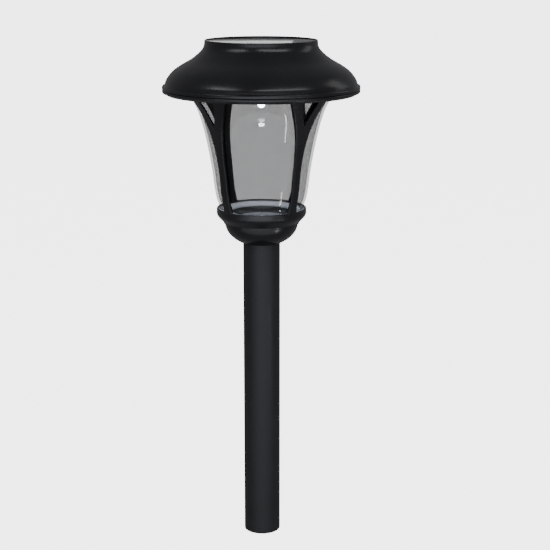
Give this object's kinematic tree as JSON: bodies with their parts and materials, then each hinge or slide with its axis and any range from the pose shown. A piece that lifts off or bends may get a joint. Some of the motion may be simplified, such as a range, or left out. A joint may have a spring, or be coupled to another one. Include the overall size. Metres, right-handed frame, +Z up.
{
  "type": "solar garden light",
  "caption": "Black solar path light: round hat with a solar cell, clear lens in a cage of forked ribs, bowl, and a plain round pole with a stowed stake.",
  "frame": {"origin": "centre of the pole's lower end, which is the object's lowest face", "axes": "+Z up along the pole and the lamp's axis, -Y towards the front, +X to the right as seen from the front"},
  "size_m": [0.1326, 0.1326, 0.3488],
  "materials": {
    "pole_paint": "satin black paint on steel tube",
    "black_plastic": "satin black moulded plastic",
    "inner_plastic": "matt black moulded plastic",
    "lens_clear": "clear, lightly smoked moulded plastic",
    "reflector_grey": "metallized grey plastic",
    "solar_glass": "glossy clear cover",
    "silicon": "dark blue solar cell",
    "backing_card": "pale laminate",
    "rubber_black": "soft black rubber",
    "steel_plated": "zinc plated steel",
    "board_green": "green circuit board",
    "battery_wrap": "glossy green wrap on a steel can",
    "led_resin": "clear epoxy lamp",
    "stake_plastic": "matt black moulded plastic",
    "wire_red": "red insulation",
    "wire_black": "black insulation"
  },
  "bodies": {
    "pole": {"pole": "pole_paint"},
    "stake": {"ground_stake": "stake_plastic"},
    "lantern": {"bowl": "black_plastic", "cage": "black_plastic", "lens": "lens_clear", "well_cup": "inner_plastic", "reflector_disc": "reflector_grey", "reflector_dish": "reflector_grey", "bowl_screw_1": "steel_plated", "bowl_screw_2": "steel_plated", "bowl_screw_3": "steel_plated"},
    "seal": {"seal_ring": "rubber_black"},
    "cap": {"hat_shell": "black_plastic", "solar_window": "solar_glass", "window_gasket": "rubber_black", "cell_backing": "backing_card", "solar_cell": "silicon", "base_plate": "inner_plastic", "hat_screw_1": "steel_plated", "hat_screw_2": "steel_plated", "hat_screw_3": "steel_plated", "battery_cell": "battery_wrap", "battery_spring": "steel_plated", "contact_negative": "steel_plated", "contact_positive": "steel_plated", "circuit_board": "board_green", "board_screw_1": "steel_plated", "board_screw_2": "steel_plated", "control_chip": "rubber_black", "boost_coil": "inner_plastic", "led_lamp": "led_resin", "led_bezel": "inner_plastic", "switch_body": "steel_plated", "solar_wire_red": "wire_red", "solar_wire_black": "wire_black", "battery_wire_red": "wire_red", "battery_wire_black": "wire_black"},
    "door": {"battery_door": "inner_plastic", "door_screw": "steel_plated"},
    "switch": {"switch_knob": "inner_plastic"}
  },
  "joints": [
    {"name": "stake_slide", "type": "slide", "parent": "pole", "child": "stake", "axis": [0, 0, -1], "range_m": [0, 0.156]},
    {"name": "lantern_lift", "type": "slide", "parent": "pole", "child": "lantern", "axis": [0, 0, 1], "range_m": [0, 0.014]},
    {"name": "cap_lift", "type": "slide", "parent": "lantern", "child": "seal", "axis": [0, 0, 1], "range_m": [0, 0.03]},
    {"name": "cap_twist", "type": "hinge", "parent": "seal", "child": "cap", "pos_m": [0, 0, 0.318], "axis": [0, 0, 1], "range_deg": [0, 25]},
    {"name": "door_release", "type": "slide", "parent": "cap", "child": "door", "axis": [0, 0, -1], "range_m": [0, 0.01]},
    {"name": "switch_slide", "type": "slide", "parent": "cap", "child": "switch", "axis": [1, 0, 0], "range_m": [0, 0.003]}
  ]
}
